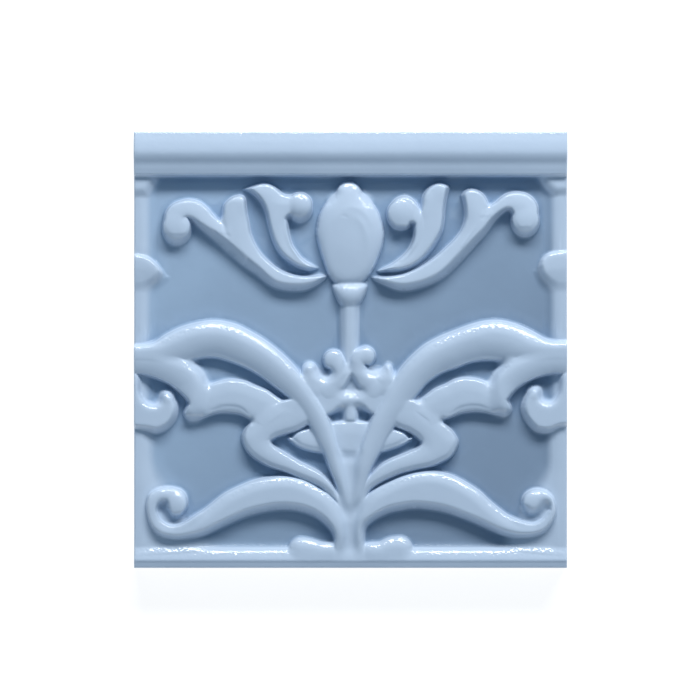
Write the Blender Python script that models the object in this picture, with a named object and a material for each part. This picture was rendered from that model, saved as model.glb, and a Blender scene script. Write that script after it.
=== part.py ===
"""A glazed relief wall tile, 150 mm wide: a plant scroll in high relief under a moulded rail.

The tile lies on its back with its face up. X runs to the right across the face, Y runs up
the face towards the rail, and the origin is the middle of the flat back.
"""

import bmesh
import bpy
from mathutils import Matrix

MM = 0.001

# The tile's driving sizes, in millimetres
WIDTH = 150.0
LENGTH = 151.0
GROUND = 8.0
RAIL_TOP = 15.0
LEDGE_TOP = 12.0
SINK = 4.0

# Heights of the forms above the back, from the lowest layer of the ornament to the highest
PILASTER_TOP = 9.6
CORNER_TOP = 9.9
BELT_TOP = 10.3
STEM_TOP = 10.6
CAPITAL_TOP = 10.8
BRACT_TOP = 11.0
RIBBON_TOP = 11.2
CHEVRON_TOP = 11.6
PANEL_TOP = 11.4
SCROLL_TOP = 11.9
TRUNK_TOP = 12.1
DROOP_TOP = 12.3
CURLED_LEAF_TOP = 12.4
UPPER_LEAF_TOP = 12.6
SWEEP_TOP = 12.7
ARCH_TOP = 12.9
BALL_TOP = 13.0
BUD_TOP = 13.2

PILASTER_WIDTH = 5.3
OVERRUN = 2.0
EDGE_ROUND = 0.6
WELD = 0.04
CURVE_STEPS = 3
PROFILE_STEPS = 4
CAP_WELD = 0.001
BALL_SIDES = 16
BALL_RINGS = 8

LEFT = -WIDTH / 2 - OVERRUN
RIGHT = WIDTH / 2 + OVERRUN
BOTTOM = -LENGTH / 2
TOP = LENGTH / 2

GLAZE_COLOUR = (0.42, 0.56, 0.74, 1.0)
GLAZE_ROUGHNESS = 0.18


def corner(x, y):
    """A point where the outline turns sharply instead of running smoothly through."""
    return (x, y, "VECTOR")


# The section of the bare tile from its back (z = 0) over the rail, the ground and the ledge
SECTION = [
    corner(BOTTOM, 0.0),
    corner(TOP, 0.0),
    corner(TOP, 12.0),
    (75.0, 13.8),
    (73.3, 14.8),
    (71.5, RAIL_TOP),
    (69.2, 14.3),
    (66.3, 12.5),
    (63.8, 12.1),
    (61.6, 11.9),
    (60.6, 11.0),
    corner(60.2, GROUND),
    corner(-67.8, GROUND),
    (-68.6, 10.9),
    (-69.9, 11.8),
    (-71.4, LEDGE_TOP),
    (-72.8, 11.8),
    (-74.4, 10.6),
    corner(BOTTOM, 8.8),
]

# Outlines of the relief, in millimetres on the tile's face
LEFT_CAPITAL = [
    corner(LEFT - 4.5, 63.0),
    corner(-65.6, 63.0),
    (-65.9, 59.0),
    (-68.0, 55.0),
    (-69.8, 52.2),
    corner(LEFT - 4.5, 51.8),
]
RIGHT_CAPITAL = [
    corner(RIGHT + 4.5, 63.0),
    corner(64.0, 63.0),
    (64.9, 58.2),
    (66.6, 55.5),
    (69.4, 52.6),
    corner(RIGHT + 4.5, 52.0),
]
LEFT_BRACT = [
    corner(LEFT - 1.0, 33.4),
    (-70.0, 32.1),
    (-66.4, 29.2),
    (-64.4, 25.8),
    (-66.4, 23.8),
    corner(LEFT - 1.0, 22.0),
]
RIGHT_BRACT = [
    corner(RIGHT + 1.0, 34.6),
    (70.0, 34.0),
    (66.2, 31.4),
    (64.6, 27.8),
    (66.4, 25.2),
    corner(RIGHT + 1.0, 23.0),
]
LEFT_UPPER_LEAF = [
    (-64.9, 43.0),
    (-64.3, 47.8),
    (-61.0, 51.2),
    (-55.6, 52.3),
    (-50.5, 50.3),
    (-47.0, 45.9),
    corner(-44.6, 42.4),
    (-44.0, 48.6),
    (-42.0, 52.2),
    (-38.6, 53.6),
    (-36.1, 51.6),
    (-35.5, 46.8),
    (-34.1, 39.8),
    (-30.7, 33.3),
    (-24.4, 27.7),
    (-17.5, 25.6),
    (-10.6, 26.2),
    (-8.7, 24.7),
    (-12.3, 21.8),
    (-20.0, 20.2),
    (-29.6, 22.9),
    (-37.2, 28.4),
    (-44.5, 34.6),
    (-51.1, 40.5),
    corner(-56.2, 44.0),
    (-55.2, 41.2),
    (-56.6, 38.0),
    (-60.2, 36.9),
    (-63.8, 38.8),
]
RIGHT_UPPER_LEAF = [
    (38.5, 52.7),
    (39.8, 55.2),
    (43.2, 55.7),
    (46.3, 53.4),
    corner(48.6, 50.4),
    (50.8, 51.8),
    (54.4, 54.3),
    (59.2, 54.8),
    (63.6, 52.3),
    (65.6, 47.8),
    (64.2, 43.2),
    (62.2, 40.2),
    (59.4, 39.9),
    (57.4, 42.2),
    (56.6, 45.4),
    (55.4, 47.6),
    (53.4, 46.8),
    (51.0, 43.4),
    (47.6, 39.1),
    (42.1, 32.6),
    (35.2, 26.0),
    (28.0, 21.9),
    (20.6, 20.1),
    (12.0, 21.8),
    (7.8, 24.2),
    (8.6, 25.7),
    (15.4, 25.6),
    (24.1, 28.1),
    (31.0, 33.6),
    (36.2, 39.5),
    (38.7, 46.0),
]
LEFT_CURLED_LEAF = [
    (-36.4, 55.2),
    (-34.6, 56.7),
    (-30.0, 57.8),
    (-26.0, 56.1),
    (-22.4, 53.6),
    (-18.0, 54.1),
    (-14.2, 51.8),
    (-13.6, 48.2),
    (-15.6, 45.0),
    (-18.6, 43.6),
    corner(-21.4, 43.8),
    (-21.0, 40.0),
    (-18.5, 34.0),
    (-15.0, 30.6),
    (-12.0, 29.0),
    (-12.4, 27.4),
    (-19.0, 28.6),
    (-23.0, 31.5),
    (-26.5, 36.0),
    (-28.6, 41.5),
    (-30.2, 48.6),
    (-33.0, 53.0),
]
RIGHT_CURLED_LEAF = [
    (13.0, 47.0),
    (13.6, 50.6),
    (17.6, 53.3),
    (21.4, 52.4),
    corner(23.5, 50.4),
    (25.2, 54.2),
    (28.8, 57.3),
    (32.0, 57.6),
    (33.8, 55.8),
    (32.9, 51.0),
    (32.6, 44.0),
    (30.0, 36.0),
    (25.0, 30.2),
    (20.0, 27.7),
    (12.0, 26.6),
    (10.6, 28.0),
    (15.0, 29.6),
    (19.5, 33.5),
    (21.4, 38.6),
    corner(21.4, 43.0),
    (18.2, 41.2),
    (14.6, 43.0),
]
BUD = [
    (-0.8, 58.3),
    (-3.4, 57.2),
    (-6.4, 52.6),
    (-10.2, 48.8),
    (-11.8, 41.5),
    (-10.6, 33.8),
    (-7.6, 26.0),
    corner(-5.8, 21.0),
    corner(5.0, 21.0),
    (8.2, 28.8),
    (11.2, 37.0),
    (11.2, 43.4),
    (8.6, 49.3),
    (4.6, 52.8),
    (2.0, 56.8),
]
# The plump middle of the bud: where it is highest, and how far it reaches across and along
BUD_MIDDLE = (-0.3, 38.6)
BUD_SWELL = (10.2, 15.5)

CUP = [
    (-6.2, 22.4),
    (0.0, 23.0),
    (5.6, 22.4),
    (5.0, 18.6),
    (2.8, 14.8),
    (-0.2, 14.0),
    (-3.2, 14.8),
    (-5.6, 18.6),
]
STEM = [corner(-3.2, 16.0), corner(2.8, 16.0), corner(2.8, -4.0), corner(-3.2, -4.0)]
LEFT_ARCH = [
    corner(LEFT - 4.0, 2.0),
    (-67.7, 2.8),
    (-59.1, 7.6),
    (-46.9, 10.0),
    (-34.8, 6.2),
    (-24.4, -1.0),
    (-17.5, -8.0),
    (-10.6, -18.0),
    (-6.1, -27.7),
    (-3.3, -38.1),
    (-1.5, -48.5),
    (-1.9, -52.2),
    (-3.6, -48.6),
    (-7.1, -39.1),
    (-12.3, -27.7),
    (-17.5, -19.7),
    (-26.2, -11.4),
    (-36.5, -4.8),
    (-46.9, -1.4),
    (-56.0, -2.6),
    corner(LEFT - 4.0, -2.4),
]
RIGHT_ARCH = [
    corner(RIGHT + 4.0, 3.1),
    (69.1, 3.1),
    (62.2, 6.6),
    (51.8, 10.0),
    (41.4, 8.3),
    (31.0, 4.5),
    (21.3, -2.1),
    (14.4, -10.4),
    (10.2, -18.0),
    (5.7, -27.7),
    (3.2, -36.8),
    (1.2, -47.0),
    (1.5, -51.6),
    (4.0, -46.8),
    (8.5, -36.4),
    (14.4, -26.0),
    (21.0, -16.6),
    (25.8, -10.4),
    (36.2, -5.2),
    (46.6, -2.4),
    (55.0, -3.2),
    corner(RIGHT + 4.0, -2.4),
]
LEFT_DROOP = [
    corner(LEFT - 3.0, 0.8),
    (-67.7, 0.7),
    (-60.0, -2.1),
    (-53.9, -5.2),
    (-50.6, -9.6),
    (-50.3, -14.0),
    (-51.9, -19.4),
    (-53.4, -22.6),
    (-55.8, -22.4),
    (-54.9, -18.2),
    (-57.4, -14.7),
    (-62.5, -10.7),
    (-69.0, -8.2),
    corner(LEFT - 3.0, -7.2),
]
RIGHT_DROOP = [
    corner(RIGHT + 3.0, 1.1),
    (69.0, 1.1),
    (61.0, -0.6),
    (54.6, -3.5),
    (50.4, -7.8),
    (48.7, -12.5),
    (50.1, -18.2),
    (52.6, -21.3),
    (55.5, -20.6),
    (54.5, -16.4),
    (57.2, -12.4),
    (63.0, -8.9),
    (70.0, -7.0),
    corner(RIGHT + 3.0, -7.2),
]
LEFT_RIBBON = [
    corner(-53.0, -13.0),
    (-46.9, -11.1),
    (-41.7, -10.1),
    (-36.5, -10.7),
    (-28.6, -13.9),
    corner(-20.0, -19.0),
    corner(-24.0, -27.0),
    (-33.0, -24.0),
    (-38.3, -21.5),
    (-45.5, -20.7),
    corner(-53.0, -22.6),
]
RIGHT_RIBBON = [
    corner(52.0, -13.4),
    (46.6, -10.7),
    (41.2, -9.4),
    (36.2, -10.0),
    (29.3, -13.2),
    corner(20.0, -19.0),
    corner(24.0, -27.0),
    (31.5, -23.4),
    (37.9, -20.8),
    (45.5, -20.3),
    corner(53.0, -21.8),
]
LEFT_CHEVRON = [
    corner(-15.0, -16.6),
    (-22.6, -17.2),
    (-31.3, -21.8),
    (-36.4, -27.2),
    (-36.7, -32.6),
    (-31.3, -38.4),
    (-22.7, -41.9),
    (-13.3, -45.7),
    (-7.1, -49.9),
    corner(-2.0, -56.0),
    corner(-2.4, -50.6),
    (-6.1, -46.8),
    (-10.6, -42.3),
    (-17.5, -38.8),
    (-24.4, -34.6),
    (-27.3, -31.4),
    (-22.7, -28.8),
    (-16.6, -26.6),
    corner(-11.0, -24.6),
]
RIGHT_CHEVRON = [
    corner(15.0, -16.6),
    (22.4, -17.2),
    (29.3, -22.3),
    (35.0, -27.6),
    (36.6, -32.4),
    (33.2, -37.8),
    (27.5, -40.2),
    (17.1, -42.6),
    (8.6, -46.6),
    corner(2.2, -53.6),
    corner(2.4, -49.6),
    (5.4, -45.0),
    (10.2, -39.8),
    (17.1, -36.4),
    (22.6, -34.2),
    (24.3, -31.6),
    (21.0, -28.4),
    (16.6, -26.4),
    corner(11.0, -24.6),
]
BELT = [
    corner(-21.0, -30.4),
    (-13.6, -27.2),
    (0.0, -24.3),
    (13.6, -27.2),
    corner(21.0, -30.3),
    (13.7, -33.9),
    (0.0, -35.3),
    (-14.0, -34.3),
]
PANEL = [
    corner(-17.0, -10.0),
    (-15.2, -5.6),
    (-13.1, -4.0),
    (-11.0, -5.6),
    (-9.2, -9.0),
    (-7.2, -9.8),
    (-5.6, -7.4),
    (0.0, -6.0),
    (5.4, -6.4),
    (7.6, -7.4),
    (9.4, -7.2),
    (12.8, -4.4),
    (14.4, -6.2),
    corner(16.6, -10.0),
    corner(8.0, -25.4),
    corner(-8.0, -25.4),
]
TRUNK = [
    corner(-2.4, -20.9),
    corner(2.1, -20.9),
    corner(2.1, -53.0),
    corner(-2.4, -53.0),
]
LEFT_SWEEP = [
    corner(-1.8, -69.5),
    (-1.9, -59.5),
    (-3.6, -54.7),
    (-7.1, -50.2),
    (-14.0, -45.7),
    (-22.7, -43.6),
    (-33.1, -45.0),
    (-43.5, -49.5),
    (-50.4, -54.9),
    (-57.3, -58.4),
    (-62.2, -59.6),
    (-65.4, -57.8),
    (-66.0, -55.0),
    (-64.6, -53.6),
    (-63.4, -55.6),
    (-60.4, -57.8),
    (-57.6, -56.2),
    (-56.4, -52.8),
    (-58.6, -48.8),
    (-64.0, -47.8),
    (-69.0, -49.8),
    (-71.1, -55.5),
    (-69.9, -61.2),
    (-66.0, -65.0),
    (-60.0, -66.5),
    (-52.0, -65.3),
    (-45.2, -62.3),
    (-34.8, -57.8),
    (-24.4, -55.8),
    (-15.1, -57.2),
    (-9.3, -60.8),
    corner(-5.8, -69.5),
]
RIGHT_SWEEP = [
    corner(1.6, -69.5),
    (2.1, -58.0),
    (4.3, -52.0),
    (10.2, -47.1),
    (17.1, -44.0),
    (27.5, -41.6),
    (36.2, -44.0),
    (44.9, -49.2),
    (51.8, -55.2),
    (57.4, -58.2),
    (62.2, -59.4),
    (66.0, -57.9),
    (67.4, -55.6),
    (65.6, -55.6),
    (63.2, -56.7),
    (60.2, -54.8),
    (59.4, -51.6),
    (61.4, -48.8),
    (65.6, -47.9),
    (69.4, -50.2),
    (71.5, -56.4),
    (70.1, -61.3),
    (66.2, -64.8),
    (60.0, -66.0),
    (51.8, -64.4),
    (43.1, -60.6),
    (32.7, -56.8),
    (22.3, -55.4),
    (13.7, -56.8),
    (6.8, -60.8),
    corner(4.8, -69.5),
]
LEFT_BUMP = [
    corner(-22.4, -71.0),
    (-20.4, -67.0),
    (-16.6, -64.4),
    (-11.8, -65.2),
    corner(-4.0, -67.4),
    corner(-4.0, -71.0),
]
RIGHT_BUMP = [
    corner(22.6, -71.0),
    (20.6, -66.4),
    (16.4, -63.7),
    (12.0, -65.0),
    corner(4.0, -66.4),
    corner(4.0, -71.0),
]
LEFT_SCROLL = [
    corner(LEFT - 5.0, -28.6),
    (-70.1, -29.0),
    (-64.3, -28.4),
    (-60.2, -24.4),
    (-59.5, -19.5),
    (-61.3, -15.6),
    (-64.6, -13.6),
    (-66.1, -14.6),
    (-66.4, -17.4),
    (-68.8, -18.7),
    (-71.2, -16.6),
    (-72.0, -12.0),
    corner(LEFT - 5.0, -8.0),
]
RIGHT_SCROLL = [
    corner(RIGHT + 5.0, -28.0),
    (69.8, -29.1),
    (63.9, -28.6),
    (59.6, -24.4),
    (58.9, -19.4),
    (61.2, -14.6),
    (65.4, -12.0),
    (67.6, -13.0),
    (66.1, -15.4),
    (68.1, -17.6),
    (70.6, -15.8),
    (71.6, -11.6),
    corner(RIGHT + 5.0, -8.0),
]
LEFT_CORNER_FILL = [
    corner(LEFT - 2.0, -30.0),
    corner(-69.7, -30.0),
    (-69.4, -39.4),
    (-66.4, -43.6),
    corner(-64.2, -48.4),
    corner(-61.0, -58.0),
    corner(-50.6, -65.0),
    corner(-48.0, -70.6),
    corner(LEFT - 2.0, -70.6),
]
RIGHT_CORNER_FILL = [
    corner(RIGHT + 2.0, -30.0),
    corner(69.2, -30.0),
    (69.2, -40.4),
    (67.4, -44.2),
    corner(65.4, -48.4),
    corner(62.0, -58.0),
    corner(53.2, -65.0),
    corner(55.2, -70.6),
    corner(RIGHT + 2.0, -70.6),
]

# Hollows that go down between the small curls of the middle
HOLLOW_FLOOR = 8.6
HOLLOWS = {
    "hollow_under_bar_left": [
        (-7.8, -20.6),
        (-5.6, -22.8),
        (-2.0, -22.0),
        (-1.6, -18.4),
        (-4.6, -18.6),
    ],
    "hollow_under_bar_right": [
        (7.2, -20.8),
        (5.2, -22.8),
        (2.2, -21.8),
        (1.9, -18.2),
        (4.4, -18.2),
    ],
    "hollow_between_curls": [
        corner(-0.2, -8.4),
        corner(-3.6, -13.8),
        corner(4.4, -13.8),
    ],
}

# Small balls where the leaves curl in: x, y and radius
CURL_BALLS = {
    "left_middle_curl": (-5.9, -3.2, 4.0),
    "right_middle_curl": (4.9, -1.8, 3.9),
}

# Every outlined form with its height, lowest layer first
RELIEF = {
    "left_corner_fill": (LEFT_CORNER_FILL, CORNER_TOP),
    "right_corner_fill": (RIGHT_CORNER_FILL, CORNER_TOP),
    "belt": (BELT, BELT_TOP),
    "stem": (STEM, STEM_TOP),
    "left_capital": (LEFT_CAPITAL, CAPITAL_TOP),
    "right_capital": (RIGHT_CAPITAL, CAPITAL_TOP),
    "left_bract": (LEFT_BRACT, BRACT_TOP),
    "right_bract": (RIGHT_BRACT, BRACT_TOP),
    "left_ribbon": (LEFT_RIBBON, RIBBON_TOP),
    "right_ribbon": (RIGHT_RIBBON, RIBBON_TOP),
    "panel": (PANEL, PANEL_TOP),
    "left_bump": (LEFT_BUMP, PANEL_TOP),
    "right_bump": (RIGHT_BUMP, PANEL_TOP),
    "left_chevron": (LEFT_CHEVRON, CHEVRON_TOP),
    "right_chevron": (RIGHT_CHEVRON, CHEVRON_TOP),
    "left_scroll": (LEFT_SCROLL, SCROLL_TOP),
    "right_scroll": (RIGHT_SCROLL, SCROLL_TOP),
    "trunk": (TRUNK, TRUNK_TOP),
    "cup": (CUP, TRUNK_TOP),
    "left_droop": (LEFT_DROOP, DROOP_TOP),
    "right_droop": (RIGHT_DROOP, DROOP_TOP),
    "left_curled_leaf": (LEFT_CURLED_LEAF, CURLED_LEAF_TOP),
    "right_curled_leaf": (RIGHT_CURLED_LEAF, CURLED_LEAF_TOP),
    "bud": (BUD, CURLED_LEAF_TOP),
    "left_upper_leaf": (LEFT_UPPER_LEAF, UPPER_LEAF_TOP),
    "right_upper_leaf": (RIGHT_UPPER_LEAF, UPPER_LEAF_TOP),
    "left_sweep": (LEFT_SWEEP, SWEEP_TOP),
    "right_sweep": (RIGHT_SWEEP, SWEEP_TOP),
    "left_arch": (LEFT_ARCH, ARCH_TOP),
    "right_arch": (RIGHT_ARCH, ARCH_TOP),
}


def clear_scene():
    """Remove every object that the file starts with."""
    for obj in list(bpy.data.objects):
        bpy.data.objects.remove(obj, do_unlink=True)


def new_collection(name):
    collection = bpy.data.collections.new(name)
    bpy.context.scene.collection.children.link(collection)
    return collection


def outline_curve(name, points, steps):
    """A filled 2D curve that runs smoothly through the points, given in millimetres."""
    curve = bpy.data.curves.new(name, "CURVE")
    curve.dimensions = "2D"
    curve.fill_mode = "BOTH"
    curve.resolution_u = steps
    spline = curve.splines.new("BEZIER")
    spline.bezier_points.add(len(points) - 1)
    for knot, point in zip(spline.bezier_points, points):
        knot.co = (point[0] * MM, point[1] * MM, 0.0)
        handle = point[2] if len(point) > 2 else "AUTO"
        knot.handle_left_type = handle
        knot.handle_right_type = handle
    spline.use_cyclic_u = True
    return curve


def solid_from_curve(curve, matrix, collection):
    """Turn an extruded curve into a closed mesh object placed by the matrix."""
    source = bpy.data.objects.new(curve.name, curve)
    source.matrix_world = matrix
    collection.objects.link(source)
    graph = bpy.context.evaluated_depsgraph_get()
    mesh = bpy.data.meshes.new_from_object(source.evaluated_get(graph))
    mesh.name = curve.name
    close_mesh(mesh)
    bpy.data.objects.remove(source)
    solid = bpy.data.objects.new(mesh.name, mesh)
    solid.matrix_world = matrix
    collection.objects.link(solid)
    return solid


def close_mesh(mesh):
    """Weld the caps of a converted curve to its walls and turn all faces outwards."""
    shape = bmesh.new()
    shape.from_mesh(mesh)
    bmesh.ops.remove_doubles(shape, verts=shape.verts, dist=CAP_WELD * MM)
    bmesh.ops.recalc_face_normals(shape, faces=shape.faces)
    shape.to_mesh(mesh)
    shape.free()


def make_body(collection):
    """The bare tile: its section drawn in the YZ plane and pulled along X to the full width."""
    curve = outline_curve("relief_tile", SECTION, PROFILE_STEPS)
    curve.extrude = WIDTH / 2 * MM
    along_x = Matrix(((0, 0, 1, 0), (1, 0, 0, 0), (0, 1, 0, 0), (0, 0, 0, 1)))
    return solid_from_curve(curve, along_x, collection)


def make_form(name, points, top, collection):
    """One form of the relief, from inside the slab up to its rounded top edge.

    Taller forms start deeper in the slab, so that no two undersides share a plane.
    """
    foot = SINK - (top - GROUND) / 2
    curve = outline_curve(name, points, CURVE_STEPS)
    curve.extrude = (top - foot) / 2 * MM - EDGE_ROUND * MM
    curve.bevel_depth = EDGE_ROUND * MM
    curve.bevel_resolution = 0
    curve.offset = -EDGE_ROUND * MM
    middle = Matrix.Translation((0.0, 0.0, (top + foot) / 2 * MM))
    return solid_from_curve(curve, middle, collection)


def make_pilaster(name, side, collection):
    """The low flat strip along one side of the tile; side is -1 for the left, 1 for the right."""
    outer = side * (WIDTH / 2 + OVERRUN)
    inner = side * (WIDTH / 2 - PILASTER_WIDTH)
    outline = [corner(outer, 62.0), corner(inner, 62.0), corner(inner, -70.0), corner(outer, -70.0)]
    return make_form(name, outline, PILASTER_TOP, collection)


def make_dome(name, centre, radii, collection):
    """A low rounded swelling: a sphere squashed to three radii, in millimetres."""
    shape = bmesh.new()
    bmesh.ops.create_uvsphere(shape, u_segments=BALL_SIDES, v_segments=BALL_RINGS, radius=MM)
    bmesh.ops.scale(shape, vec=radii, verts=shape.verts)
    bmesh.ops.translate(shape, vec=[value * MM for value in centre], verts=shape.verts)
    mesh = bpy.data.meshes.new(name)
    shape.to_mesh(mesh)
    shape.free()
    dome = bpy.data.objects.new(name, mesh)
    collection.objects.link(dome)
    return dome


def make_hollow(name, points, collection):
    """A cutter for one hollow, from its floor to well above the relief."""
    curve = outline_curve(name, points, CURVE_STEPS)
    curve.extrude = (RAIL_TOP - HOLLOW_FLOOR) / 2 * MM
    middle = Matrix.Translation((0.0, 0.0, (RAIL_TOP + HOLLOW_FLOOR) / 2 * MM))
    return solid_from_curve(curve, middle, collection)


def make_trimmer(collection):
    """The tile's own box, which trims the forms that run past its sides."""
    shape = bmesh.new()
    bmesh.ops.create_cube(shape, size=1.0)
    size = (WIDTH * MM, LENGTH * MM, RAIL_TOP * 2 * MM)
    bmesh.ops.scale(shape, vec=size, verts=shape.verts)
    mesh = bpy.data.meshes.new("trimmer")
    bmesh.ops.translate(shape, vec=(0.0, 0.0, RAIL_TOP * MM), verts=shape.verts)
    shape.to_mesh(mesh)
    shape.free()
    trimmer = bpy.data.objects.new("trimmer", mesh)
    collection.objects.link(trimmer)
    return trimmer


def combine(body, tool, operation):
    """Join the tool to the body, or cut it away, with an exact Boolean."""
    modifier = body.modifiers.new(tool.name, "BOOLEAN")
    modifier.operation = operation
    modifier.solver = "EXACT"
    modifier.object = tool
    tool.hide_render = True
    tool.display_type = "WIRE"


def weld_slivers(body):
    """Merge the points that the joins left closer together than the weld distance."""
    modifier = body.modifiers.new("weld_slivers", "WELD")
    modifier.merge_threshold = WELD * MM


def glaze_material():
    material = bpy.data.materials.new("pale_blue_glaze")
    material.use_nodes = True
    shader = material.node_tree.nodes["Principled BSDF"]
    shader.inputs["Base Color"].default_value = GLAZE_COLOUR
    shader.inputs["Roughness"].default_value = GLAZE_ROUGHNESS
    shader.inputs["Metallic"].default_value = 0.0
    return material


clear_scene()
tile_parts = new_collection("relief_tile")
helpers = new_collection("relief_forms")
tile = make_body(tile_parts)
for side_name, side in (("left_pilaster", -1), ("right_pilaster", 1)):
    combine(tile, make_pilaster(side_name, side, helpers), "UNION")
for form_name, (form_points, form_top) in RELIEF.items():
    combine(tile, make_form(form_name, form_points, form_top, helpers), "UNION")
bud_radii = (*BUD_SWELL, BUD_TOP - GROUND)
combine(tile, make_dome("bud_swelling", (*BUD_MIDDLE, GROUND), bud_radii, helpers), "UNION")
for ball_name, (ball_x, ball_y, ball_radius) in CURL_BALLS.items():
    radii = (ball_radius, ball_radius, BALL_TOP - GROUND)
    combine(tile, make_dome(ball_name, (ball_x, ball_y, GROUND), radii, helpers), "UNION")
for hollow_name, hollow_points in HOLLOWS.items():
    combine(tile, make_hollow(hollow_name, hollow_points, helpers), "DIFFERENCE")
combine(tile, make_trimmer(helpers), "INTERSECT")
weld_slivers(tile)
tile.data.materials.clear()
tile.data.materials.append(glaze_material())
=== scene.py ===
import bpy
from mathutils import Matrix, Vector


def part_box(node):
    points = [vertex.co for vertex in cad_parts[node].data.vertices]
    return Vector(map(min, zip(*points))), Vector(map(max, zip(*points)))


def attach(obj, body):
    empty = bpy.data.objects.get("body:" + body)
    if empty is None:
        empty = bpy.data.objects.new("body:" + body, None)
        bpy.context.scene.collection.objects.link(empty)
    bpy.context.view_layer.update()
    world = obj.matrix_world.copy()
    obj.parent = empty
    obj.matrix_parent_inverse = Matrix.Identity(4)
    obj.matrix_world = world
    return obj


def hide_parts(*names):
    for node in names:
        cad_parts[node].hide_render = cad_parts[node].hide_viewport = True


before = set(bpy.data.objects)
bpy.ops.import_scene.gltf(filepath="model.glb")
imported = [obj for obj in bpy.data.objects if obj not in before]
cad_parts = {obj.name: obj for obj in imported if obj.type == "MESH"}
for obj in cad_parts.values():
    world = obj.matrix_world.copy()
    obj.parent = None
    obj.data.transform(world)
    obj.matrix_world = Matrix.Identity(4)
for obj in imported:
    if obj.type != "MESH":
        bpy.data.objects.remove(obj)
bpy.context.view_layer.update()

import math

import bpy
import numpy as np

# The pressed blank
# The tile is one slab of porcelain clay, pressed in a mould with a rail along its top and a
# rounded ledge along its bottom. Its face is worked as a fine field of heights above the back.
MM = 0.001
PITCH = 0.25
# How far the mesh stays inside the sides of the solid.
SIDE_CLEARANCE = 0.01
low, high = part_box("relief_tile")
half_width = (high.x - low.x) / 2 / MM - SIDE_CLEARANCE
half_length = (high.y - low.y) / 2 / MM - SIDE_CLEARANCE
columns = int(round(2 * half_width / PITCH)) + 1
rows = int(round(2 * half_length / PITCH)) + 1
across = np.linspace(-half_width, half_width, columns)
upward = np.linspace(-half_length, half_length, rows)
X, Y = np.meshgrid(across, upward)
GROUND = 8.0

# From the foot of the tile to its head: how far up, and how high above the back.
SECTION = [
    (-76.2, 10.3),
    (-75.5, 10.64),
    (-74.9, 10.85),
    (-74.2, 11.04),
    (-73.6, 11.18),
    (-73.3, 11.34),
    (-73.0, 11.54),
    (-72.4, 11.5),
    (-71.8, 11.32),
    (-71.2, 11.11),
    (-70.6, 10.88),
    (-70.1, 10.66),
    (-69.8, 10.48),
    (-69.4, 10.18),
    (-69.0, 9.8),
    (-68.6, 9.3),
    (-68.2, 8.7),
    (-67.6, 8.25),
    (-66.8, GROUND),
    (-60.0, GROUND),
    (50.0, GROUND),
    (59.4, GROUND),
    (60.0, 8.6),
    (60.15, 9.8),
    (60.3, 11.2),
    (60.5, 12.1),
    (60.9, 12.44),
    (61.5, 12.64),
    (62.0, 12.78),
    (62.5, 12.95),
    (63.0, 13.08),
    (64.0, 13.33),
    (64.5, 13.5),
    (65.0, 13.71),
    (65.5, 13.97),
    (66.0, 14.24),
    (66.5, 14.48),
    (67.0, 14.68),
    (67.5, 14.84),
    (68.0, 14.95),
    (68.6, 15.0),
    (69.5, 14.95),
    (70.2, 14.86),
    (71.0, 14.73),
    (72.0, 14.54),
    (73.0, 14.29),
    (74.0, 14.02),
    (74.8, 13.8),
    (75.2, 13.7),
    (75.5, 13.6),
    (76.2, 13.3),
]


def smooth_line(points, step=1.0):
    """Points along a smooth curve through the given ones."""
    knots = np.array(points, float)
    knots = np.vstack([2 * knots[0] - knots[1], knots, 2 * knots[-1] - knots[-2]])
    line = []
    for a, b, c, d in zip(knots[:-3], knots[1:-2], knots[2:-1], knots[3:]):
        ta = 0.0
        tb = ta + math.sqrt(math.dist(a[:2], b[:2]))
        tc = tb + math.sqrt(math.dist(b[:2], c[:2]))
        td = tc + math.sqrt(math.dist(c[:2], d[:2]))
        count = max(2, math.ceil(math.dist(b[:2], c[:2]) / step))
        for t in np.linspace(tb, tc, count, endpoint=False):
            ab = (tb - t) / (tb - ta) * a + (t - ta) / (tb - ta) * b
            bc = (tc - t) / (tc - tb) * b + (t - tb) / (tc - tb) * c
            cd = (td - t) / (td - tc) * c + (t - tc) / (td - tc) * d
            abc = (tc - t) / (tc - ta) * ab + (t - ta) / (tc - ta) * bc
            bcd = (td - t) / (td - tb) * bc + (t - tb) / (td - tb) * cd
            line.append((tc - t) / (tc - tb) * abc + (t - tb) / (tc - tb) * bcd)
    line.append(knots[-2])
    return np.array(line)


profile = smooth_line(SECTION, 0.2)
face = np.interp(Y, profile[:, 0], profile[:, 1])


# Side strips and their ends
# Low flat strips run down both sides of the panel. They carry a rounded ear under each end of
# the rail, a small leaf at mid height, and a wider fill behind each curled end at the bottom.
def nearest(line, x, y):
    """Distance from each point to the line, and where along it the nearest place is."""
    best = np.full(x.shape, 1e9)
    place = np.zeros(x.shape)
    for i, (a, b) in enumerate(zip(line[:-1, :2], line[1:, :2])):
        run = b - a
        share = ((x - a[0]) * run[0] + (y - a[1]) * run[1]) / max(run @ run, 1e-12)
        share = np.clip(share, 0.0, 1.0)
        gap = (x - a[0] - share * run[0]) ** 2 + (y - a[1] - share * run[1]) ** 2
        closer = gap < best
        best[closer] = gap[closer]
        place[closer] = i + share[closer]
    return np.sqrt(best), place


def inside(loop, x, y):
    """True where a point lies within the closed loop. Every row of x and y is one height."""
    result = np.zeros(x.shape, bool)
    ends = np.roll(loop, -1, axis=0)
    for row in range(x.shape[0]):
        level = y[row, 0]
        crosses = (loop[:, 1] > level) != (ends[:, 1] > level)
        a, b = loop[crosses], ends[crosses]
        at = np.sort(a[:, 0] + (level - a[:, 1]) * (b[:, 0] - a[:, 0]) / (b[:, 1] - a[:, 1]))
        result[row] = np.searchsorted(at, x[row]) % 2 == 1
    return result


def soft_min(a, b, k):
    return np.minimum(a, b) - k / 4 * np.clip(1 - np.abs(a - b) / k, 0, None) ** 2


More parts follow.
